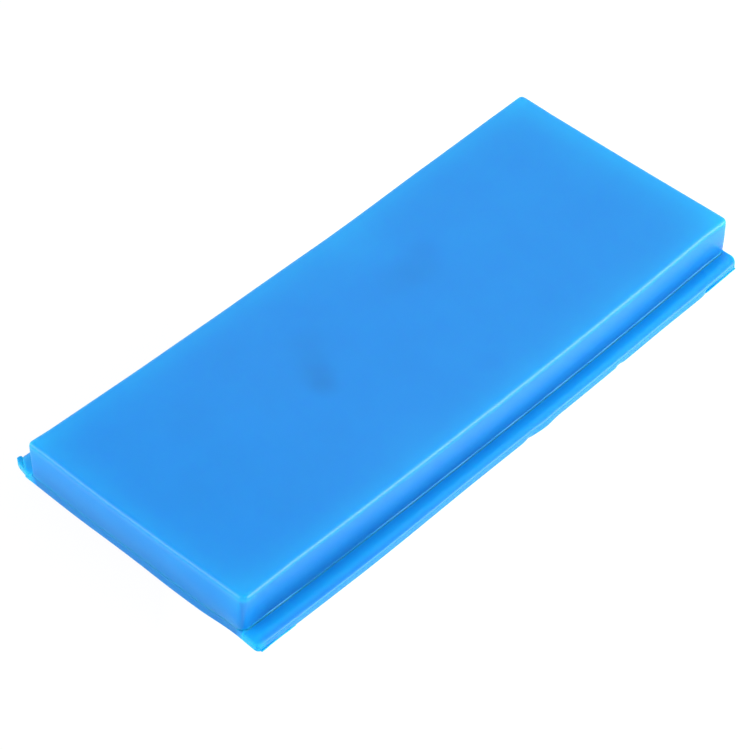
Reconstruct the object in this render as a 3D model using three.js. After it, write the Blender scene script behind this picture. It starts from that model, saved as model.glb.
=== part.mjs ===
// A detailing clay bar, as it comes out of its tray: a moulded block standing on the sheet of clay
// that was squeezed out between the tray's rim and the press plate, with thin flash at three corners.
// Millimetres, +Z up. +X runs along the bar, the wide rear ledge is on the +Y side.
import * as THREE from 'three';

// Driving dimensions.
const BLOCK_LENGTH = 160.2;
const BLOCK_WIDTH = 65.6;
const BLOCK_HEIGHT = 10.4; // from the parting line, where the tray's rim was, to the top face
const BLOCK_EDGE_RADIUS = 1.2;

const SHEET_THICKNESS = 2.6; // squeezed-out clay, from the underside to the parting line
const SHEET_EDGE_RADIUS = 0.9;
const FRONT_LEDGE = 4.3; // how far the sheet stands out of each wall of the block
const REAR_LEDGE = 5.9;
const RIGHT_END_LEDGE = 0.2; // the left end is cut flush

// The bar is bowed: it rests on its middle and both ends are lifted.
const LEFT_LIFT = 1.5;
const RIGHT_LIFT = 2.4;
const BOW_STRIPS = 15; // flat strips that the bow is made of
const FLAT_STRIPS = 3; // level ones in the middle, which the bar rests on

const FLASH_GAP = 0.05; // between a scrap of flash and the sheet's edge

const LEFT_REAR_FLASH = { end: -1, side: 1, length: 5, width: 2.4, thickness: 1.7 }; // a thick tongue
const LEFT_FRONT_FLASH = { end: -1, side: -1, length: 9, width: 0.9, thickness: 0.6 };
const RIGHT_FRONT_FLASH = { end: 1, side: -1, length: 8, width: 0.5, thickness: 0.6 };

const ROUND_STEPS = 3; // rows of faces across a rounded edge
const CLAY_BLUE = 0x3d97ec;
const THIN_CLAY_BLUE = 0x52b4f8; // thin clay lets more light through
const CLAY_ROUGHNESS = 0.38;

const HALF_LENGTH = BLOCK_LENGTH / 2;
const HALF_WIDTH = BLOCK_WIDTH / 2;
const BOW_END = HALF_LENGTH - BLOCK_EDGE_RADIUS; // beyond this the last strips run straight on
const STRIP_LENGTH = (2 * BOW_END) / BOW_STRIPS;
const FLAT_END = (FLAT_STRIPS * STRIP_LENGTH) / 2;

const SHEET = {
  xMin: -HALF_LENGTH,
  xMax: HALF_LENGTH + RIGHT_END_LEDGE,
  yMin: -HALF_WIDTH - FRONT_LEDGE,
  yMax: HALF_WIDTH + REAR_LEDGE,
};

// ---- the bow ----

// X positions of the bow's fold lines. Both large solids have vertices on all of them, so the block's
// underside and the sheet's top are the same flat strips and meet face to face.
function bowStations() {
  return Array.from({ length: BOW_STRIPS + 1 }, (_, i) => -BOW_END + i * STRIP_LENGTH);
}

// The smooth bow: level in the middle, then rising as a square to each end's lift.
function smoothLift(x) {
  const past = Math.max(0, Math.abs(x) - FLAT_END) / (BOW_END - FLAT_END);
  return (x < 0 ? LEFT_LIFT : RIGHT_LIFT) * past ** 2;
}

// The bow as flat strips between the fold lines, running straight on past the last one.
function stripLift(x) {
  const strip = THREE.MathUtils.clamp(Math.floor((x + BOW_END) / STRIP_LENGTH), 0, BOW_STRIPS - 1);
  const start = -BOW_END + strip * STRIP_LENGTH;
  const along = (x - start) / STRIP_LENGTH;
  return THREE.MathUtils.lerp(smoothLift(start), smoothLift(start + STRIP_LENGTH), along);
}

function bend(geometry) {
  const position = geometry.getAttribute('position');
  for (let i = 0; i < position.count; i += 1) {
    position.setZ(i, position.getZ(i) + stripLift(position.getX(i)));
  }
  geometry.computeVertexNormals();
  return geometry;
}

// ---- the two large solids ----

// Grid lines from one end to the other: fine rows across each rounded edge, the given ones between.
// The set drops the repeats that an end with no rounding makes.
function gridLines(min, max, minRadius, maxRadius, middle) {
  const rows = Array.from({ length: ROUND_STEPS }, (_, i) => i / ROUND_STEPS);
  const start = rows.map((t) => min + t * minRadius);
  const end = rows.map((t) => max - t * maxRadius);
  const inner = [min + minRadius, ...middle, max - maxRadius];
  return [...new Set([...start, ...inner, ...end])].sort((a, b) => a - b);
}

// A slab with its side and top edges rounded and its underside sharp. Each vertex past the inner
// box is pulled in from the corner of a cube to the surface of a ball.
function roundedSlab({ xMin, xMax, yMin, yMax, zMin, zMax, radius }) {
  const lines = [
    gridLines(xMin, xMax, radius, radius, bowStations()),
    gridLines(yMin, yMax, radius, radius, []),
    gridLines(zMin, zMax, 0, radius, []),
  ];
  const inner = new THREE.Box3(
    new THREE.Vector3(xMin + radius, yMin + radius, -Infinity),
    new THREE.Vector3(xMax - radius, yMax - radius, zMax - radius),
  );
  const cells = lines.map((line) => line.length - 1);
  const onLine = (value, axis) => lines[axis][Math.round((value + 0.5) * cells[axis])];
  const geometry = new THREE.BoxGeometry(1, 1, 1, ...cells);
  const position = geometry.getAttribute('position');
  const vertex = new THREE.Vector3();
  for (let i = 0; i < position.count; i += 1) {
    vertex.fromBufferAttribute(position, i);
    vertex.fromArray(vertex.toArray().map(onLine));
    const core = inner.clampPoint(vertex, new THREE.Vector3());
    const outward = vertex.clone().sub(core);
    const reach = Math.max(...outward.toArray().map(Math.abs));
    vertex.copy(core).add(outward.setLength(reach));
    position.setXYZ(i, vertex.x, vertex.y, vertex.z);
  }
  geometry.deleteAttribute('uv');
  return bend(geometry);
}

function clayBlock() {
  return roundedSlab({
    xMin: -HALF_LENGTH,
    xMax: HALF_LENGTH,
    yMin: -HALF_WIDTH,
    yMax: HALF_WIDTH,
    zMin: SHEET_THICKNESS,
    zMax: SHEET_THICKNESS + BLOCK_HEIGHT,
    radius: BLOCK_EDGE_RADIUS,
  });
}

function baseSheet() {
  return roundedSlab({ ...SHEET, zMin: 0, zMax: SHEET_THICKNESS, radius: SHEET_EDGE_RADIUS });
}

// ---- thin flash left on the sheet's underside edge ----

// A feather of clay along one long edge of the sheet: widest at its end of the bar, torn off
// slantwise there, and running out thin along the edge. `end` is -1 at the left end and 1 at the
// right; `side` is -1 along the front edge and 1 along the rear.
function cornerFlash({ end, side, length, width, thickness }) {
  const edge = side < 0 ? SHEET.yMin : SHEET.yMax;
  const root = edge + side * FLASH_GAP;
  const tip = edge + side * width;
  const startX = end * (HALF_LENGTH - SHEET_EDGE_RADIUS);
  const stopX = startX - end * length;
  const outline = new THREE.Shape();
  outline.moveTo(startX, root);
  outline.lineTo(startX - end * 0.5 * width, tip);
  outline.quadraticCurveTo(startX - end * 0.6 * length, tip, stopX, root + side * 0.25 * width);
  outline.lineTo(stopX, root);
  outline.closePath();
  const geometry = new THREE.ExtrudeGeometry(outline, {
    depth: thickness,
    bevelEnabled: false,
    curveSegments: 8,
  });
  geometry.deleteAttribute('uv');
  return bend(geometry);
}

// ---- assembly ----

function clay(color) {
  return new THREE.MeshStandardMaterial({ color, roughness: CLAY_ROUGHNESS, metalness: 0 });
}

function piece(name, geometry, color) {
  const mesh = new THREE.Mesh(geometry, clay(color));
  mesh.name = name;
  return mesh;
}

const bar = new THREE.Group();
bar.add(
  piece('clay_block', clayBlock(), CLAY_BLUE),
  piece('base_sheet', baseSheet(), CLAY_BLUE),
  piece('left_rear_flash', cornerFlash(LEFT_REAR_FLASH), THIN_CLAY_BLUE),
  piece('left_front_flash', cornerFlash(LEFT_FRONT_FLASH), THIN_CLAY_BLUE),
  piece('right_front_flash', cornerFlash(RIGHT_FRONT_FLASH), THIN_CLAY_BLUE),
);

// The origin is under the middle of the whole bar, flash included, on the surface it rests on.
const extent = new THREE.Box3().setFromObject(bar);
const middle = extent.getCenter(new THREE.Vector3());
bar.position.set(-middle.x, -middle.y, -extent.min.z);

const model = new THREE.Group();
model.add(bar);

export default model;
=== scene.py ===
# %% [markdown]
# # A detailing clay bar
# This lesson builds one bar of blue detailing clay: a moulded block that stands on the thin sheet
# of clay squeezed out under it. The engineering model is loaded first, as a fixed frame that says
# how large everything is and where it goes. The lesson then makes a finer skin for each part.

# %% Load the frame
import math

import bmesh
import bpy
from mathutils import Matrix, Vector


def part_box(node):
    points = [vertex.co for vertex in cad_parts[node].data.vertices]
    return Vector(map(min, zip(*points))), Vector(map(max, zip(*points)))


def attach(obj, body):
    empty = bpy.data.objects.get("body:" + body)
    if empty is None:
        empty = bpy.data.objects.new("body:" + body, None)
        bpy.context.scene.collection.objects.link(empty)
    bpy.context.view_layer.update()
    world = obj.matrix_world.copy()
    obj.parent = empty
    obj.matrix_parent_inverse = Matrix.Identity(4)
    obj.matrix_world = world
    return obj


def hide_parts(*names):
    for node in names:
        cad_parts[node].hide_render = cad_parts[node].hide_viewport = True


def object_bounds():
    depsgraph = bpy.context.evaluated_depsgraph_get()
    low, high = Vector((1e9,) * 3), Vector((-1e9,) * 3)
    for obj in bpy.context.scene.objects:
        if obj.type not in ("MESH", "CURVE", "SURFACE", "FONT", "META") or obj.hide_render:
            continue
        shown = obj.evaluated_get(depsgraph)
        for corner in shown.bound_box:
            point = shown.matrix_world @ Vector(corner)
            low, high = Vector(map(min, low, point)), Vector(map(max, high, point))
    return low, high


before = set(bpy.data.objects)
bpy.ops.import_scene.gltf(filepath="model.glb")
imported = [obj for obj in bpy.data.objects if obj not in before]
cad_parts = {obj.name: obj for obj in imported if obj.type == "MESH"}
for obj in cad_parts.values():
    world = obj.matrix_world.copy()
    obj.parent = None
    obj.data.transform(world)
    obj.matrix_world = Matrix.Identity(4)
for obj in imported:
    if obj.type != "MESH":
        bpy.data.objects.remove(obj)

MM = 0.001
cad_low, cad_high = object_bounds()
block_low, block_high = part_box("clay_block")
sheet_low, sheet_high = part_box("base_sheet")
parting = block_low.z
bar_size = [round(side / MM, 1) for side in cad_high - cad_low]
print("bar", bar_size, "mm, parting line at", round(parting / MM, 2))

# %% [markdown]
# ## A few hands for the work
# Every operator acts on what is selected, so the first helper selects one piece and nothing else.
# In edit mode the second selects by place: it looks at the middle of each vertex, edge or face.
# The third cuts right through a piece, as a wire cuts clay, which gives it the rows of vertices
# that later shaping needs.

# %% Helpers for selecting, cutting and modifiers
def select_only(piece):
    bpy.ops.object.select_all(action="DESELECT")
    piece.select_set(True)
    bpy.context.view_layer.objects.active = piece


def pick(piece, kind, wanted):
    """Selects the VERT, EDGE or FACE elements whose middle passes the test."""
    bpy.ops.mesh.select_mode(type=kind)
    bpy.ops.mesh.select_all(action="DESELECT")
    mesh = bmesh.from_edit_mesh(piece.data)
    elements = {"VERT": mesh.verts, "EDGE": mesh.edges, "FACE": mesh.faces}[kind]
    for element in elements:
        corners = [element.co] if kind == "VERT" else [v.co for v in element.verts]
        if wanted(sum(corners, Vector()) / len(corners)):
            element.select_set(True)
    mesh.select_flush_mode()
    bmesh.update_edit_mesh(piece.data)


def cut(piece, axis, places):
    """Cuts the piece right through at each place along axis 0, 1 or 2."""
    normal = Vector([float(i == axis) for i in range(3)])
    for place in places:
        bpy.ops.mesh.select_all(action="SELECT")
        bpy.ops.mesh.bisect(plane_co=normal * place, plane_no=normal)


def apply_modifier(piece, kind, **settings):
    """Adds a modifier with those settings and makes its result the piece's own mesh."""
    modifier = piece.modifiers.new(kind.lower(), kind)
    for name, value in settings.items():
        setattr(modifier, name, value)
    select_only(piece)
    bpy.ops.object.modifier_apply(modifier=modifier.name)


def displace(piece, weight, **settings):
    """A Displace modifier, applied, that moves each vertex by the weight, 0 to 1, of its place."""
    group = piece.vertex_groups.new(name="amount")
    for vertex in piece.data.vertices:
        amount = min(1.0, weight(vertex.co))
        if amount > 0:
            group.add([vertex.index], amount, "REPLACE")
    apply_modifier(piece, "DISPLACE", vertex_group=group.name, **settings)
    piece.vertex_groups.clear()


def steps(start, stop, spacing):
    """Evenly spaced places strictly between two ends, about a spacing apart."""
    count = max(1, round(abs(stop - start) / spacing))
    return [start + (stop - start) * i / count for i in range(1, count)]


def smooth(low, high, value):
    """0 below low, 1 above high, and an even ease between them."""
    t = min(1.0, max(0.0, (value - low) / (high - low)))
    return t * t * (3 - 2 * t)


def print_triangles(piece):
    print(piece.name, "triangles", sum(len(face.vertices) - 2 for face in piece.data.polygons))


# %% [markdown]
# ## The camera
# A long lens held far away keeps the bar's long edges nearly parallel, as in a catalogue picture.
# The camera is placed by its angle round the bar, its height and its distance from a point inside
# the bar, which is easier to read than three coordinates.

# %% Camera
CAMERA_AZIMUTH = math.radians(-46.51)
CAMERA_ELEVATION = math.radians(45.52)
CAMERA_DISTANCE = 661.6 * MM
CAMERA_LENS = 140.6  # millimetres, as is the sensor
SENSOR_WIDTH = 36
BLOCK_HEIGHT = 10.4 * MM  # from the parting line to the top, before the bar is bowed
level_top = parting + BLOCK_HEIGHT
block_middle = (block_low + block_high) / 2


def at(x, y, z):
    """A place by its millimetres along, across and above the middle of the block's top face."""
    return Vector((block_middle.x, block_middle.y, level_top)) + Vector((x, y, z)) * MM


camera_aim = at(-7.56, -2.37, -6.72)
camera_back = Vector((
    math.sin(CAMERA_AZIMUTH) * math.cos(CAMERA_ELEVATION),
    -math.cos(CAMERA_AZIMUTH) * math.cos(CAMERA_ELEVATION),
    math.sin(CAMERA_ELEVATION),
))
camera_data = bpy.data.cameras.new("studio_camera")
camera_data.lens = CAMERA_LENS
camera_data.sensor_width = SENSOR_WIDTH
camera_data.clip_start = 0.01
camera = bpy.data.objects.new("studio_camera", camera_data)
camera.location = camera_aim + camera_back * CAMERA_DISTANCE
camera.rotation_mode = "QUATERNION"
camera.rotation_quaternion = (-camera_back).to_track_quat("-Z", "Y")
bpy.context.scene.collection.objects.link(camera)
bpy.context.scene.camera = camera
print("camera at", [round(place / MM) for place in camera.location], "mm")

# %% [markdown]
# ## Tent and soft boxes
# A small product is often shown on a lit white table, inside a white tent, with a soft box on either
# side of the camera. The tent is an even white world. The soft boxes stand low, so what they add is
# mostly the fine bright lines along the rounded edges: a rounded edge mirrors them somewhere along
# its curve, and the flat top, which faces up, does not. Two helpers come first, because the table
# needs them already: one turns a colour into a shader's numbers, and one adds a node.

# %% Helpers for colours and nodes
def linear(hex_colour):
    """An sRGB hex colour as the linear red, green, blue and alpha that shaders take."""
    channels = [int(hex_colour[i : i + 2], 16) / 255 for i in (1, 3, 5)]
    return [c / 12.92 if c <= 0.04045 else ((c + 0.055) / 1.055) ** 2.4 for c in channels] + [1.0]


def add(material, kind, settings, **links):
    """Adds a node, sets its sockets and properties by name, and links sockets into its inputs."""
    node = material.node_tree.nodes.new(kind)
    for name, value in settings.items():
        if isinstance(name, int) or name in node.inputs:
            node.inputs[name].default_value = value
        else:
            setattr(node, name, value)
    for name, socket in links.items():
        target = node.inputs[int(name[1:])] if name[1:].isdigit() else node.inputs[name]
        material.node_tree.links.new(socket, target)
    return node


# %% Tent and soft boxes
WHITE = "#ffffff"
TENT_STRENGTH = 0.8
BOX_DISTANCE = 1.2
BOX_WIDTH = 0.8
bpy.context.scene.view_settings.view_transform = "Standard"
world = bpy.data.worlds.new("white_tent")
world.use_nodes = True
world.node_tree.nodes["Background"].inputs["Color"].default_value = linear(WHITE)
world.node_tree.nodes["Background"].inputs["Strength"].default_value = TENT_STRENGTH
bpy.context.scene.world = world


def soft_box(name, direction, radiance):
    """A square box that faces the bar; its power is worked out from how bright it looks."""
    data = bpy.data.lights.new(name, "AREA")
    data.shape = "SQUARE"
    data.size = BOX_WIDTH
    data.energy = radiance * math.pi * BOX_WIDTH * BOX_WIDTH
    box = bpy.data.objects.new(name, data)
    box.location = direction.normalized() * BOX_DISTANCE
    box.rotation_mode = "QUATERNION"
    box.rotation_quaternion = direction.to_track_quat("Z", "Y")
    bpy.context.scene.collection.objects.link(box)


soft_box("right_soft_box", Vector((0.51, -0.77, 0.3)), 6.2)
soft_box("left_soft_box", Vector((-0.79, 0.48, 0.38)), 3.6)

# %% [markdown]
# ## The lit table
# The table is a plate of white acrylic, lit from below. That washes out the bar's shadow and gives
# its walls something white to mirror. The front of the table glows more than the back, so the front
# wall mirrors more than the left end does.

# %% Table
TABLE_SIZE = 4.0
TABLE_GAP = 0.02 * MM  # the table is this little below the bar, so no two faces share a plane
TABLE_GLOW = (0.95, 1.14)  # behind the left end, and in front
GLOW_RUN = (-50 * MM, 0.0)  # along the diagonal from left rear to right front
bpy.ops.object.select_all(action="DESELECT")
bpy.ops.mesh.primitive_plane_add(size=TABLE_SIZE, location=(0, 0, cad_low.z - TABLE_GAP))
table = bpy.context.object
table.name = "lit_white_table"
bpy.ops.object.transform_apply(location=True, rotation=True, scale=True)
table_paint = bpy.data.materials.new("lit_white_acrylic")
table_paint.use_nodes = True
table_shader = table_paint.node_tree.nodes["Principled BSDF"]
table_shader.inputs["Base Color"].default_value = linear("#404040")
table_shader.inputs["Roughness"].default_value = 0.9
table_shader.inputs["Specular IOR Level"].default_value = 0.1
table_shader.inputs["Emission Color"].default_value = linear(WHITE)
table_place = add(table_paint, "ShaderNodeTexCoord", {}).outputs["Object"]
table_run = add(
    table_paint, "ShaderNodeVectorMath",
    {"operation": "DOT_PRODUCT", 1: Vector((1, -1, 0)).normalized()}, _0=table_place,
)
table_glow = add(
    table_paint, "ShaderNodeMapRange",
    {"From Min": GLOW_RUN[0], "From Max": GLOW_RUN[1],
     "To Min": TABLE_GLOW[0], "To Max": TABLE_GLOW[1]},
    Value=table_run.outputs["Value"],
)
table_paint.node_tree.links.new(
    table_glow.outputs["Result"], table_shader.inputs["Emission Strength"]
)
table.data.materials.append(table_paint)

# %% [markdown]
# ## The bow
# The bar was lifted out of its tray by its ends, so it rests on its middle. Every piece is first
# made straight, which keeps its edges easy to select, and is bent at the end. The bend is a
# Displace modifier that lifts each vertex by its weight, and the weight follows a curve like that of
# the engineering model: level in the middle, rising as a square outside it.

# %% Bow
LEFT_LIFT = 1.5 * MM
RIGHT_LIFT = 2.4 * MM
LEVEL_END = 6 * MM  # from the middle, as is the next
BOW_END = 78.9 * MM


def lift(x):
    """How far the bow lifts the bar at x."""
    past = max(0.0, abs(x - block_middle.x) - LEVEL_END) / (BOW_END - LEVEL_END)
    return (LEFT_LIFT if x < block_middle.x else RIGHT_LIFT) * past**2


def bow(piece):
    highest = lift(cad_high.x)
    displace(piece, lambda co: lift(co.x) / highest, direction="Z", mid_level=0.0, strength=highest)


# %% [markdown]
# ## Hand-made unevenness
# Pressed clay is never quite flat or straight. Two helpers give it that. The first moves the
# surface in and out by soft cloud noise of about a tenth of a millimetre, which bends the
# reflections just enough to look real. The second pushes the clay round one place along an axis,
# as a thumb or a knock does.

# %% Unevenness and pushes
def uneven(piece, name, grain, depth, weight):
    """Moves the surface along its normals by cloud noise of that grain size, depth in all."""
    clouds = bpy.data.textures.new(name, "CLOUDS")
    clouds.noise_scale = grain
    clouds.noise_depth = 1
    displace(piece, weight, texture=clouds, texture_coords="LOCAL", mid_level=0.5, strength=depth)


def push(piece, centre, reach, axis, distance):
    """Moves what is round the centre along "X", "Y" or "Z", easing out to nothing at the reach.

    The reach along each axis and the distance are in millimetres.
    """
    def nearness(co):
        away = co - centre
        away = Vector((away.x / reach[0], away.y / reach[1], away.z / reach[2]))
        return 1 - smooth(0, 1, away.length / MM)

    displace(piece, nearness, direction=axis, mid_level=0.0, strength=distance * MM)


# %% [markdown]
# ## The block
# The block is the part that filled the tray. It starts as a box of the right size. Its upright
# corners get a small radius each, then its top edge gets one. Cuts give it an even grid of faces,
# about a millimetre wide after one subdivision.

# %% Block
TOP_RADIUS = 1.2 * MM
GRID = 2.0 * MM  # also how far the cuts keep from the rounded corners
WALL_ROWS = (0.15, 0.3, 0.45, 0.8, 2, 4, 6, 8)  # mm above the parting line, closest at the foot
ROUND_ROWS = 5
HAIR = 0.02 * MM  # how close a vertex has to be to count as on an edge or face


def start_box(name, low, high):
    """A box of the given corners, with its place in its mesh, opened in edit mode."""
    bpy.ops.object.select_all(action="DESELECT")
    bpy.ops.mesh.primitive_cube_add(size=1, location=(low + high) / 2, scale=high - low)
    piece = bpy.context.object
    piece.name = name
    piece.data.name = name
    bpy.ops.object.transform_apply(location=True, rotation=True, scale=True)
    bpy.ops.object.mode_set(mode="EDIT")
    return piece


def round_edges(piece, radius, wanted):
    pick(piece, "EDGE", wanted)
    bpy.ops.mesh.bevel(offset=radius, segments=ROUND_ROWS, affect="EDGES")


def round_upright(piece, x, y, radius):
    """Rounds the one upright edge at x and y."""
    round_edges(piece, radius, lambda co: abs(co.x - x) < HAIR and abs(co.y - y) < HAIR)


block = start_box("moulded_block", block_low, Vector((block_high.x, block_high.y, level_top)))
round_upright(block, block_low.x, block_low.y, 1.7 * MM)
round_upright(block, block_high.x, block_low.y, 1.5 * MM)
round_upright(block, block_low.x, block_high.y, 1.3 * MM)
round_upright(block, block_high.x, block_high.y, 1.4 * MM)
round_edges(block, TOP_RADIUS, lambda co: co.z > level_top - HAIR)
cut(block, 0, steps(block_low.x + GRID, block_high.x - GRID, GRID))
cut(block, 1, steps(block_low.y + GRID, block_high.y - GRID, GRID))
cut(block, 2, [parting + z * MM for z in WALL_ROWS])
bpy.ops.object.mode_set(mode="OBJECT")
print_triangles(block)

# %% [markdown]
# ## The bead at the foot of the wall
# Where the tray's rim met the press plate, a hair-fine bead of clay was left along the foot of the
# front wall. It is a row of vertices, cut for it and moved straight out by a Displace modifier, whose
# weight stops and starts along the bar, as the real bead does. The wall's foot also runs out into
# the ledge in a small hollow, because the tray's rim was slightly worn.

# %% Parting bead
BEAD_HEIGHT = 0.3 * MM  # one of WALL_ROWS
BEAD_OUT = 0.09 * MM
LONG_BEAD_START = (-44, -38)  # mm from the middle, where the beads fade in or out
SHORT_BEAD_START = (-75, -72)
SHORT_BEAD_END = (-66, -62)
BEAD_WAVE = 0.37  # radians for each mm, so the long bead swells and thins every 17 mm
HOLLOW_HEIGHT = 0.6 * MM
HOLLOW_OUT = 0.22 * MM


def bead_run(x):
    """How much bead there is at x, from 0 to 1."""
    along = (x - block_middle.x) / MM
    long_run = smooth(*LONG_BEAD_START, along) * (0.8 + 0.2 * math.sin(along * BEAD_WAVE))
    short_run = smooth(*SHORT_BEAD_START, along) * (1 - smooth(*SHORT_BEAD_END, along))
    return max(long_run, short_run)


def bead_weight(co):
    on_row = abs(co.z - parting - BEAD_HEIGHT) < HAIR and co.y < block_low.y + HAIR
    return bead_run(co.x) if on_row else 0.0


def hollow_weight(co):
    on_front = co.y < block_low.y + HAIR
    return max(0.0, 1 - (co.z - parting) / HOLLOW_HEIGHT) ** 2 if on_front else 0.0


displace(block, hollow_weight, direction="Y", mid_level=0.0, strength=-HOLLOW_OUT)
displace(block, bead_weight, direction="Y", mid_level=0.0, strength=-BEAD_OUT)
apply_modifier(block, "SUBSURF", subdivision_type="SIMPLE", levels=1, render_levels=1)

# %% [markdown]
# ## How the block settled
# The middle of the left end bulges, and its foot flares out over most of its width, together with
# the sheet under it. The left front corner slumped back and out when the bar was laid down, and the
# right front corner was drawn out and down. The back edge was pressed in, most of all at its right
# end, where the right wall gave way outwards. The front edge has a slight dent at half its length.
# Each is one push or a few. Those that block and sheet share are kept in a list of their own, so
# both follow them alike.

# %% Settling
FLARES = [  # centre, reach, axis and distance, as push takes them
    (at(-80, 12, -4), (8, 22, 14), "X", -0.3),
    (at(-80, 20, -12.5), (6, 26, 5), "X", -0.35),
    (at(-80, -12, -12.5), (6, 24, 5), "X", -0.4),
    (at(-80, -29, -12.5), (6, 9, 6), "X", 0.35),
]
SLUMPS = [
    (at(-80, -33, 0), (24, 26, 9), "X", 0.6),  # left front corner
    (at(-80, -33, 0), (18, 14, 9), "Y", -0.35),
    (at(-80, 33, -2), (7, 7, 14), "X", -0.2),  # left rear corner
    (at(-80, 33, -2), (7, 7, 14), "Y", 0.2),
    (at(0.6, -33, 0), (5, 3, 3), "Z", -0.25),  # dent in the front edge
    (at(80, -33, -3), (10, 10, 16), "X", 0.2),  # right front corner
    (at(80, -33, -3), (10, 10, 16), "Y", -0.4),
    (at(80, -33, 0), (9, 9, 5), "Z", -0.2),
    (at(15, 33, 0), (30, 14, 10), "Y", -0.22),  # back edge
    (at(80, 33, -3), (46, 12, 16), "Y", -0.65),
    (at(80, 33, -3), (12, 50, 16), "X", 0.35),  # right end
    (at(80, 33, -3), (14, 14, 16), "X", 0.25),
    (at(80, 33, -3), (14, 14, 16), "Y", -0.25),
]
for settling in FLARES + SLUMPS:
    push(block, *settling)
uneven(
    block, "press_unevenness", 22 * MM, 0.14 * MM,
    lambda co: smooth(parting, parting + 1.5 * MM, co.z),
)
bow(block)
print_triangles(block)

# %% [markdown]
# ## The squeezed-out sheet
# The sheet was free at its edge, so its outline wanders a little and its rim sags. At both ends it
# was trimmed flush with the block, so only the ledges outside the block's walls get a soft rim. It
# starts as a box too. Its left rear corner was torn off at a slant.

# %% Sheet
RIM_RADIUS = 0.45 * MM
UNDER_RADIUS = 0.3 * MM
SLANT = 2.4 * MM  # how much the torn corner takes off the rear edge
SLANT_START = 2.1 * MM  # how far behind the block it starts
SHEET_MARGIN = 2.6 * MM  # how far the cuts across the sheet keep from its ends
UNDER_GRID = 4 * MM  # wider cuts do for what the block hides
FRONT_ROWS = (0.8, 1.2, 1.6, 2.1, 2.8, 3.6)  # mm in from the front edge
REAR_ROWS = (0.8, 1.2, 1.6, 2.4, 3.2, 4.4)  # mm in from the rear edge
SIDE_ROWS = (0.9, 1.6)  # mm above the underside

sheet = start_box("squeezed_sheet", sheet_low, Vector((sheet_high.x, sheet_high.y, parting)))
cut(sheet, 1, [block_low.y, block_high.y, block_high.y + SLANT_START])
pick(sheet, "VERT", lambda co: co.x < sheet_low.x + HAIR and co.y > sheet_high.y - HAIR)
bpy.ops.transform.translate(value=(SLANT, 0, 0))
round_upright(sheet, sheet_low.x, sheet_low.y, 1.1 * MM)
round_upright(sheet, sheet_high.x, sheet_low.y, 2.0 * MM)
round_upright(sheet, sheet_low.x + SLANT, sheet_high.y, 0.6 * MM)
round_upright(sheet, sheet_high.x, sheet_high.y, 2.0 * MM)


def outside_walls(co):
    return co.y < block_low.y - HAIR or co.y > block_high.y + HAIR


def on_slant_cut(co):
    """The cut through the sheet where the slant starts is no edge of it, so it stays sharp."""
    return abs(co.y - block_high.y - SLANT_START) < HAIR


def on_top_rim(co):
    return co.z > parting - HAIR and outside_walls(co) and not on_slant_cut(co)


def on_outline(co):
    at_end = min(co.x - sheet_low.x, sheet_high.x - co.x) < HAIR
    return at_end or (outside_walls(co) and not on_slant_cut(co))


round_edges(sheet, RIM_RADIUS, on_top_rim)
round_edges(sheet, UNDER_RADIUS, lambda co: co.z < sheet_low.z + HAIR and on_outline(co))
cut(sheet, 0, steps(sheet_low.x + SHEET_MARGIN, sheet_high.x - SHEET_MARGIN, GRID))
cut(sheet, 1, [sheet_low.y + y * MM for y in FRONT_ROWS])
cut(sheet, 1, [sheet_high.y - y * MM for y in REAR_ROWS])
cut(sheet, 1, steps(block_low.y, block_high.y, UNDER_GRID))
cut(sheet, 2, [z * MM for z in SIDE_ROWS])
bpy.ops.object.mode_set(mode="OBJECT")
apply_modifier(sheet, "SUBSURF", subdivision_type="SIMPLE", levels=1, render_levels=1)

# %% [markdown]
# ## How the rim sagged and tore
# The rim of each ledge sags over its last two millimetres. Along the left half of the front it
# crept out a little further. Near the right corner it was drawn out too, and a strip of it tore
# away, which left a step. There are also two small nicks and, beside one of them, a small bulge. The
# weights and the pushes say where each happens.

# %% Rim
SAG_WIDTH = 2.2 * MM
SAG = 0.55 * MM
CREEP = 0.56 * MM
TEAR = 0.38 * MM
SHEET_KNOCKS = [
    (at(37.5, -37.1, -13), (1.6, 1.2, 1.4), "Y", 0.35),  # the two nicks
    (at(6.0, -37.1, -13), (1.6, 1.2, 1.4), "Y", 0.3),
    (at(11.5, -37.1, -13), (5, 2, 3), "Y", -0.35),  # the bulge
    (at(71, -37.1, -13), (22, 3, 4), "Y", -0.35),  # right front corner
    (at(80, -34, -12), (6, 6, 9), "X", -0.2),
]


def rim_distance(co):
    """How far in from the outline, which is the free edge of the ledges and their left ends."""
    inward = min(co.y - sheet_low.y, sheet_high.y - co.y)
    if outside_walls(co):
        inward = min(inward, co.x - sheet_low.x)
    return max(0.0, inward)


def rising(co):
    """0 at the underside, 1 at the sheet's top."""
    return min(1.0, (co.z - sheet_low.z) / (parting - sheet_low.z))


def sag(co):
    return max(0.0, 1 - rim_distance(co) / SAG_WIDTH) ** 2 * rising(co)


def crept_out(co):
    x = (co.x - block_middle.x) / MM
    return (1 - smooth(-50, -8, x)) * (1 - smooth(0, 2.5 * MM, co.y - sheet_low.y))


def torn_off(co):
    x = (co.x - block_middle.x) / MM
    run = smooth(67.4, 68.4, x) * (1 - 0.6 * smooth(69, 77, x)) * (1 - smooth(77.5, 79.5, x))
    low = 1 - smooth(0.7 * MM, 1.9 * MM, co.z - sheet_low.z)
    return run * low * (1 - smooth(0, 1.5 * MM, co.y - sheet_low.y))


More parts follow.
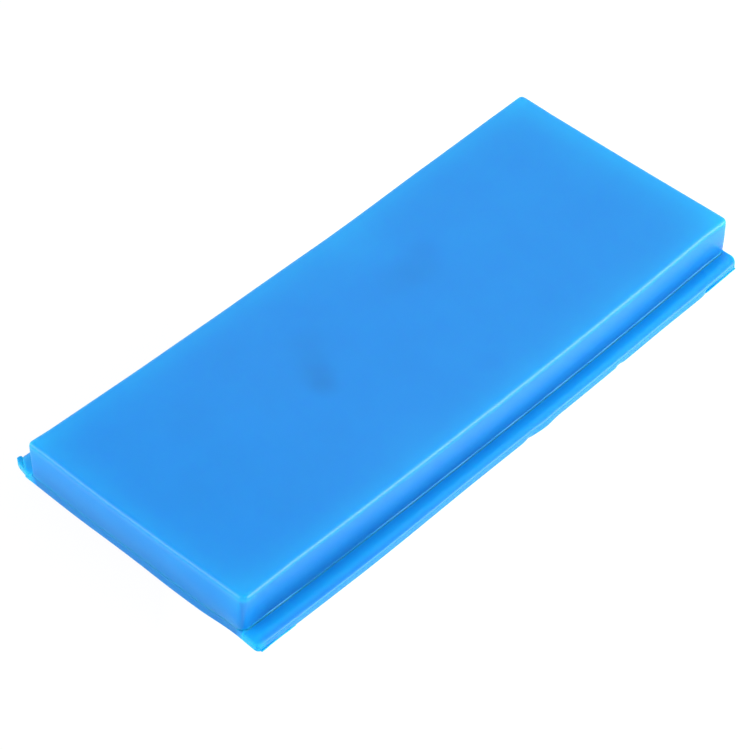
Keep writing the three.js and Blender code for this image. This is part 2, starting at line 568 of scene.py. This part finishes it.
displace(sheet, sag, direction="Z", mid_level=0.0, strength=-SAG)
displace(sheet, crept_out, direction="Y", mid_level=0.0, strength=-CREEP)
displace(sheet, torn_off, direction="Y", mid_level=0.0, strength=TEAR)
for settling in FLARES + SHEET_KNOCKS:
    push(sheet, *settling)
uneven(
    sheet, "rim_wander", 9 * MM, 0.12 * MM,
    lambda co: (
        (1 - smooth(0, 2.5 * MM, rim_distance(co))) * smooth(0, 0.6 * MM, co.z - sheet_low.z)
    ),
)
bow(sheet)
print_triangles(sheet)

# %% [markdown]
# ## Flash
# Flash is clay that crept out under the sheet's edge and was left hanging when the bar was
# trimmed. Each scrap is drawn out from a small box, one step at a time: its end face is extruded,
# moved on to the next place, and widened or narrowed to the width there. A small bevel then softens
# its edges.

# %% Flash
FLASH_ROUND = 0.12 * MM


def draw_out(name, along, spans, bottom, top):
    """A strip along axis 0 or 1. Each span is its place along that axis, then its two sides."""
    across = 1 - along
    origin = at(0, 0, 0)
    sideways = Vector([float(i == across) for i in range(3)])

    def corner(place, side, z):
        point = Vector((0, 0, z * MM))
        point[along] = origin[along] + place * MM
        point[across] = origin[across] + side * MM
        return point

    start, near, far = spans[0]
    end = spans[1][0]
    ahead = Vector([float(i == along) for i in range(3)])
    forward = 1 if end > start else -1
    tip = corner(end, near, 0)[along]
    first, last = sorted((start, end))
    piece = start_box(name, corner(first, near, bottom), corner(last, far, top))
    pick(piece, "FACE", lambda co: (co[along] - tip) * forward > -HAIR)
    here = (end, near, far)
    for place, low, high in spans[1:]:
        if place != here[0]:
            step = {"value": ahead * (place - here[0]) * MM}
            bpy.ops.mesh.extrude_region_move(TRANSFORM_OT_translate=step)
        shift = (low + high) / 2 - (here[1] + here[2]) / 2
        bpy.ops.transform.translate(value=sideways * shift * MM)
        bpy.ops.transform.resize(
            value=Vector((1, 1, 1)) + sideways * ((high - low) / (here[2] - here[1]) - 1),
            center_override=corner(place, (low + high) / 2, (bottom + top) / 2),
        )
        here = (place, low, high)
    pick(piece, "EDGE", lambda co: True)
    bpy.ops.mesh.bevel(offset=FLASH_ROUND, segments=2, affect="EDGES")
    bpy.ops.mesh.subdivide(number_cuts=1)
    bpy.ops.object.mode_set(mode="OBJECT")
    return piece


tongue = draw_out("flash_tongue", 1, [
    (34.6, -80.05, -79.9), (35.6, -79.85, -79.3), (36.6, -79.65, -78.75), (37.6, -79.45, -78.2),
    (38.2, -79.24, -77.8), (38.7, -79.02, -77.5), (39.1, -78.8, -77.55), (39.35, -78.6, -77.8),
], 0.05, 2.0)
lip = draw_out("flash_lip", 0, [
    (-79.3, -37.95, -37.6), (-78, -37.93, -37.6), (-76.5, -37.85, -37.6), (-75, -37.8, -37.6),
    (-73.5, -37.76, -37.6), (-72, -37.74, -37.6), (-70.6, -37.72, -37.6), (-69, -37.7, -37.6),
], 0.02, 0.45)
flake = draw_out("flash_flake", 0, [
    (79.2, -37.45, -37.15), (78.6, -37.42, -37.1), (77.1, -37.36, -37.1), (74.1, -37.36, -37.08),
    (71.2, -37.34, -37.06), (69.4, -37.3, -37.02), (68.4, -37.25, -37.0),
], 0.02, 0.5)
for scrap in (tongue, lip, flake):
    uneven(scrap, scrap.name + "_grain", 2 * MM, 0.12 * MM, lambda co: 1.0)
    bow(scrap)
    print_triangles(scrap)

# %% [markdown]
# ## Clay you can see into
# Detailing clay is a soft polybutene resin filled with very fine chalk and abrasive, and dyed. It
# is translucent: light goes in, scatters in the filler and comes out a few millimetres away. Blue
# travels furthest and red is absorbed at once, which is subsurface scattering. Where a spot is near
# more than one face, more light reaches it, so edges, corners and thin clay are lighter and
# greener than the middle of the top. Scattering alone shows little of that over a whole bar, so
# each vertex also stores how much light reaches it, in an attribute of painted light, and the base
# colour runs from a painted shade through the deep blue to a painted lit blue with it. This paints
# the lit edges, the darker walls and the shaded creases into the colour. A second attribute,
# polish, says how smooth the skin is: the tray left it satin, but the ends were cut, and the sheet's
# rim and the wall's foot never touched the tray, so they mirror less.

# %% How much light reaches the block
# Painted light is 0 for the middle of the top, 1 for the most lit clay and -1 for the most shaded.
# Lengths in this cell and the next two are in millimetres.
SIDES = {  # how much painted light comes in through each side of the block, and how deep it goes
    "left": (0.6, 3.2),
    "right": (0.85, 4.4),
    "front": (0.66, 3.4),
    "rear": (0.66, 3.4),
    "top": (0.66, 4.5),
}
EDGE_LOSS = 0.45  # a rounded edge is lit from outside already, so it needs less
RIGHT_GAIN = 0.06  # painted light: the right half is a little lighter
WALL_SHADE = 0.25  # painted shade: the walls are darker than the top
WALL_TOP = 1.2  # a vertex further down than this is on a wall
END_WIDTH = 0.6  # a vertex this near an end is on it
KEPT_ON_WALL = 0.55  # of the light through the other sides
KEPT_ON_END = 0.65
FOOT_SHADE = 1.05  # painted shade: the corner between the wall and the ledge is the darkest place
END_SHADE = 0.5
FOOT_REACH = 3.6
FOOT_LINE = (0.3, 0.5)  # painted light at the very foot: everywhere, and more towards the left
LINE_REACH = 0.4
# painted light along the bead
BEAD_PAINTED_LIGHT = 0.7
half = (block_high - block_low) / 2


def block_depths(co):
    """How deep below each side of the block a place is."""
    return {
        "left": (co.x - block_low.x) / MM,
        "right": (block_high.x - co.x) / MM,
        "front": (co.y - block_low.y) / MM,
        "rear": (block_high.y - co.y) / MM,
        "top": (level_top + lift(co.x) - co.z) / MM,
    }


def block_painted_light(co):
    """Painted light: each face of the block lets light in; the one that the vertex is on doesn't
    count.
    """
    depths = block_depths(co)
    light = []
    for side, depth in depths.items():
        strength, reach = SIDES[side]
        light.append(strength * math.exp(-max(0.0, depth) / reach))
    nearest, second = sorted(depths.values())[:2]
    painted_light = sum(light) - max(light) - EDGE_LOSS * math.exp(-max(0.0, nearest + second))
    along = (co.x - block_middle.x) / half.x
    on_end = min(depths["left"], depths["right"]) < END_WIDTH
    wall_shade = 0.5 * WALL_SHADE if on_end else WALL_SHADE * (1 - 0.5 * along)
    painted_light -= wall_shade * smooth(0.4, 2.5, depths["top"])
    if depths["top"] > WALL_TOP:
        painted_light = wall_painted_light(co, painted_light, depths["left"], on_end)
    return painted_light + RIGHT_GAIN * along


def wall_painted_light(co, painted_light, from_left, on_end):
    """On the walls the painted light fades to painted shade at the foot; the very foot is lit again.
    """
    up = (co.z - lift(co.x) - parting) / MM
    shade = END_SHADE if on_end else FOOT_SHADE * (0.3 + 0.7 * smooth(0, 9, from_left))
    shade *= smooth(-0.2, 0.9, up)
    painted_light = (KEPT_ON_END if on_end else KEPT_ON_WALL) * painted_light - shade * math.exp(-up / FOOT_REACH)
    near_left = 0 if on_end else 1 - smooth(8, 30, from_left)
    painted_light += (FOOT_LINE[0] + FOOT_LINE[1] * near_left) * math.exp(-up / LINE_REACH)
    if not on_end and abs(up - BEAD_HEIGHT / MM) < 0.08:
        painted_light += BEAD_PAINTED_LIGHT * bead_run(co.x)
    return painted_light


# %% How much light reaches the sheet
CUT_PAINTED_LIGHT = -0.55  # painted shade where the sheet's ends were cut flush with the block's
CUT_LINE = 0.4  # painted light along the top of the cut
HIDDEN_PAINTED_LIGHT = 0.6  # painted light on the underside right below the block's wall, painted shade further in
HIDDEN_REACH = 6
LEDGE_PAINTED_LIGHT = (0.1, 0.62)  # painted light at the foot of the wall, and how much more further out
LEDGE_LINE = 0.3  # painted light again right at the foot
LEDGE_LINE_REACH = 0.35
# painted light, more towards the right end
LEDGE_RIGHT_GAIN = 0.15
LEFT_TIP_PAINTED_LIGHT = 0.8  # the ledges' left ends are lit from three sides
RIM_SHADE = 0.6  # the rim faces away from the light


# Painted light and shade on the sheet: shade at the cut ends, under the block and on the rim, light on
# the ledges away from the wall.
def sheet_painted_light(co):
    out = max(block_low.y - co.y, co.y - block_high.y) / MM
    down = (parting + lift(co.x) - co.z) / MM
    from_left = (co.x - sheet_low.x) / MM
    if out < 0:
        from_end = min(co.x - sheet_low.x, sheet_high.x - co.x) / MM
        on_cut = CUT_PAINTED_LIGHT + CUT_LINE * math.exp(-down / LINE_REACH)
        inside = smooth(0.3, 2.5, from_end) * math.exp(out / HIDDEN_REACH)
        return on_cut + (HIDDEN_PAINTED_LIGHT - on_cut) * inside
    painted_light = LEDGE_PAINTED_LIGHT[0] + LEDGE_PAINTED_LIGHT[1] * smooth(0.3, 3.2, out)
    painted_light += LEDGE_LINE * math.exp(-out / LEDGE_LINE_REACH)
    painted_light += LEDGE_RIGHT_GAIN * smooth(-20, 70, (co.x - block_middle.x) / MM)
    painted_light = max(painted_light, LEFT_TIP_PAINTED_LIGHT * (1 - smooth(0, 6, from_left)))
    from_rim = min(co.y - sheet_low.y, sheet_high.y - co.y) / MM
    return painted_light - RIM_SHADE * (1 - smooth(0, 1.2, from_rim)) * smooth(0, 3, from_left)


# %% How smooth the skin is
# Polish is 1 for clay that touched the tray. These say how much less a place has.
DULL_END = 0.45
DULL_LEFT = 0.25  # of the top, towards the left end
DULL_FOOT = 0.8
DULL_BEAD = 0.25  # how much of that the bead gets back
DULL_CUT = 0.55
DULL_RIM = 0.15


def block_polish(co):
    depths = block_depths(co)
    on_end = 1 - smooth(0.3, 1.2, min(depths["left"], depths["right"]))
    on_wall = 1 - DULL_END * on_end * smooth(1.0, 2.5, depths["top"])
    on_top = 1.0
    if depths["top"] < 0.3:
        on_top = 1 - DULL_LEFT + DULL_LEFT * smooth(5, 60, depths["left"])
    up = (co.z - lift(co.x) - parting) / MM
    dull_foot = (DULL_FOOT - DULL_BEAD * bead_run(co.x)) * (1 - smooth(0, 0.7, up)) * (1 - on_end)
    return on_wall * on_top * (1 - dull_foot)


def sheet_polish(co):
    from_end = min(co.x - sheet_low.x, sheet_high.x - co.x) / MM
    from_rim = min(co.y - sheet_low.y, sheet_high.y - co.y) / MM
    on_end = 1 - DULL_CUT + DULL_CUT * smooth(0, 2.5, from_end)
    return on_end * (1 - DULL_RIM + DULL_RIM * smooth(0, 1.5, from_rim))


# %% Store both on the pieces
FLASH_PAINTED_LIGHT = 0.85  # painted light: thin clay is light all through
FLASH_POLISH = 0.6


def store(piece, name, amount):
    """Keeps a number for each vertex, where the material can read it by name."""
    attribute = piece.data.attributes.new(name, "FLOAT", "POINT")
    attribute.data.foreach_set("value", [amount(vertex.co) for vertex in piece.data.vertices])


store(block, "painted_light", block_painted_light)
store(block, "polish", block_polish)
store(sheet, "painted_light", sheet_painted_light)
store(sheet, "polish", sheet_polish)
for scrap in (tongue, lip, flake):
    store(scrap, "painted_light", lambda co: FLASH_PAINTED_LIGHT)
    store(scrap, "polish", lambda co: FLASH_POLISH)

# %% [markdown]
# ## The clay's node material
# One function makes the clay for every piece, so a change to the mix changes the whole bar. It
# carries the fine marks of real clay. Kneading leaves faint streaks a centimetre or two wide, and in
# the block a few smudges of deeper colour. A few specks of grit lie in the surface. The skin is
# satin: a grain under half a millimetre spreads the reflections a little, and long shallow ripples
# bend them.

# %% Clay material
CLAY_IOR = 1.44
SCATTER_DEPTH = 1.5 * MM
SCATTER_RADIUS = (0.25, 0.9, 1.0)  # how far red, green and blue travel, in scatter depths
SHADED_BLUE = "#0c67ac"  # painted shade, at the lowest painted light
DEEP_BLUE = "#108ddf"  # the clay's own colour, where nothing is painted
LIT_BLUE = "#12b6f2"  # painted lit blue, at the highest painted light
SPECK_BLUE = "#0a3f78"
FULL_MIRROR = 0.5  # the shader's number for as much mirror as the IOR gives
SATIN = (0.27, 0.37)  # roughness, from one side of the grain to the other
MATT_EXTRA = 0.3  # how much rougher a torn face is
STREAK_SIZE = 16 * MM
STREAK_GLOW = 0.04
GRAIN_SIZE = 0.4 * MM
GRAIN_DEPTH = 0.01 * MM
RIPPLE_SIZE = 7 * MM
RIPPLE_DEPTH = 0.15 * MM
SPECK_SPACING = 14 * MM
SPECK_RADIUS = 0.16 * MM
SPECK_STRENGTH = 0.5


def make_clay(name, scatter=SCATTER_DEPTH, smudges=()):
    """Filled resin clay. A smudge is a centre, a radius and how much deeper it makes the colour, on
    the painted light scale.
    """
    material = bpy.data.materials.new(name)
    material.use_nodes = True
    shader = material.node_tree.nodes["Principled BSDF"]
    shader.inputs["IOR"].default_value = CLAY_IOR
    shader.inputs["Subsurface Weight"].default_value = 1.0
    shader.inputs["Subsurface Radius"].default_value = SCATTER_RADIUS
    shader.inputs["Subsurface Scale"].default_value = scatter
    place = add(material, "ShaderNodeTexCoord", {}).outputs["Object"]
    painted_light = add(material, "ShaderNodeAttribute", {"attribute_name": "painted_light"}).outputs["Fac"]
    polish = add(material, "ShaderNodeAttribute", {"attribute_name": "polish"}).outputs["Fac"]

    streaks = add(
        material, "ShaderNodeTexNoise", {"Scale": 1 / STREAK_SIZE, "Detail": 2.0}, Vector=place
    )
    streak_shift = add(
        material, "ShaderNodeMapRange",
        {"From Min": 0.3, "From Max": 0.7, "To Min": -STREAK_GLOW, "To Max": STREAK_GLOW},
        Value=streaks.outputs["Fac"],
    )
    light = add(
        material, "ShaderNodeMath", {"operation": "ADD"}, _0=painted_light, _1=streak_shift.outputs["Result"]
    )
    for centre, radius, strength in smudges:
        away = add(material, "ShaderNodeVectorMath", {"operation": "DISTANCE", 1: centre}, _0=place)
        shade = add(
            material, "ShaderNodeMapRange",
            {"interpolation_type": "SMOOTHERSTEP", "From Min": 0.0, "From Max": radius,
             "To Min": strength, "To Max": 0.0},
            Value=away.outputs["Value"],
        )
        light = add(
            material, "ShaderNodeMath", {"operation": "SUBTRACT"},
            _0=light.outputs["Value"], _1=shade.outputs["Result"],
        )
    # Painted light and shade: the attribute runs the base colour from the deep blue up to the lit blue
    # and down to the shaded blue.
    lit = add(
        material, "ShaderNodeMix",
        {"data_type": "RGBA", 6: linear(DEEP_BLUE), 7: linear(LIT_BLUE)},
        Factor=light.outputs["Value"],
    )
    dark = add(
        material, "ShaderNodeMath", {"operation": "MULTIPLY", 1: -1.0}, _0=light.outputs["Value"]
    )
    colour = add(
        material, "ShaderNodeMix", {"data_type": "RGBA", 7: linear(SHADED_BLUE)},
        Factor=dark.outputs["Value"], _6=lit.outputs[2],
    )
    cells = add(material, "ShaderNodeTexVoronoi", {"Scale": 1 / SPECK_SPACING}, Vector=place)
    speck = add(
        material, "ShaderNodeMapRange",
        {"From Min": SPECK_RADIUS / SPECK_SPACING, "From Max": 1.6 * SPECK_RADIUS / SPECK_SPACING,
         "To Min": SPECK_STRENGTH, "To Max": 0.0},
        Value=cells.outputs["Distance"],
    )
    specked = add(
        material, "ShaderNodeMix", {"data_type": "RGBA", 7: linear(SPECK_BLUE)},
        Factor=speck.outputs["Result"], _6=colour.outputs[2],
    )
    material.node_tree.links.new(specked.outputs[2], shader.inputs["Base Color"])

    grain = add(material, "ShaderNodeTexNoise", {"Scale": 1 / GRAIN_SIZE, "Detail": 3.0}, Vector=place)
    satin = add(
        material, "ShaderNodeMapRange", {"To Min": SATIN[0], "To Max": SATIN[1]},
        Value=grain.outputs["Fac"],
    )
    dullness = add(
        material, "ShaderNodeMapRange", {"To Min": MATT_EXTRA, "To Max": 0.0}, Value=polish
    )
    roughness = add(
        material, "ShaderNodeMath", {"operation": "ADD"},
        _0=satin.outputs["Result"], _1=dullness.outputs["Result"],
    )
    material.node_tree.links.new(roughness.outputs["Value"], shader.inputs["Roughness"])
    mirror = add(material, "ShaderNodeMath", {"operation": "MULTIPLY", 1: FULL_MIRROR}, _0=polish)
    material.node_tree.links.new(mirror.outputs["Value"], shader.inputs["Specular IOR Level"])

    ripple = add(
        material, "ShaderNodeTexNoise", {"Scale": 1 / RIPPLE_SIZE, "Detail": 2.0}, Vector=place
    )
    soft_bump = add(
        material, "ShaderNodeBump", {"Strength": 0.25, "Distance": RIPPLE_DEPTH},
        Height=ripple.outputs["Fac"],
    )
    fine_bump = add(
        material, "ShaderNodeBump", {"Strength": 0.2, "Distance": GRAIN_DEPTH},
        Height=grain.outputs["Fac"], Normal=soft_bump.outputs["Normal"],
    )
    material.node_tree.links.new(fine_bump.outputs["Normal"], shader.inputs["Normal"])
    return material


THIN_SCATTER = 0.3 * MM  # light runs out of thin clay before it gets far
block_clay = make_clay("filled_resin_clay", smudges=[
    (at(-16.3, 10.5, 0), 8.0 * MM, 0.07),
    (at(-19.2, 5.6, 0), 6.5 * MM, 0.1),
    (at(-21.4, 1.6, 0), 6.5 * MM, 0.17),
    (at(-22.8, -1.4, 0), 5.5 * MM, 0.15),
    (at(7.0, 10.4, 0), 8.0 * MM, 0.05),
    (at(14.5, 10.2, 0), 9.0 * MM, 0.07),
    (at(20.0, 9.5, 0), 9.0 * MM, 0.07),
    (at(25.3, 13.0, 0), 6.0 * MM, 0.07),
    (at(8.0, -22.4, 0), 5.0 * MM, 0.06),
    (at(17.0, 26.0, 0), 18.0 * MM, -0.12),  # a lighter patch
])
sheet_clay = make_clay("squeezed_resin_clay")
flash_clay = make_clay("thin_resin_clay", scatter=THIN_SCATTER)
print("nodes in the block's clay", len(block_clay.node_tree.nodes))

# %% [markdown]
# ## Into the frame
# Each piece gets its clay and smooth shading, except across an edge sharper than 40 degrees. It then
# takes the place of its part in the engineering model and rides on the model's one body.

# %% Finish the pieces
SHARP_EDGE = math.radians(40)


def finish_piece(piece, material, slot, *nodes):
    piece.data.materials.append(material)
    select_only(piece)
    bpy.ops.object.shade_smooth_by_angle(angle=SHARP_EDGE)
    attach(piece, "root")
    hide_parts(*nodes)


finish_piece(block, block_clay, "clay", "clay_block")
finish_piece(sheet, sheet_clay, "clay", "base_sheet")
finish_piece(tongue, flash_clay, "thin_clay", "left_rear_flash")
finish_piece(lip, flash_clay, "thin_clay", "left_front_flash")
finish_piece(flake, flash_clay, "thin_clay", "right_front_flash")
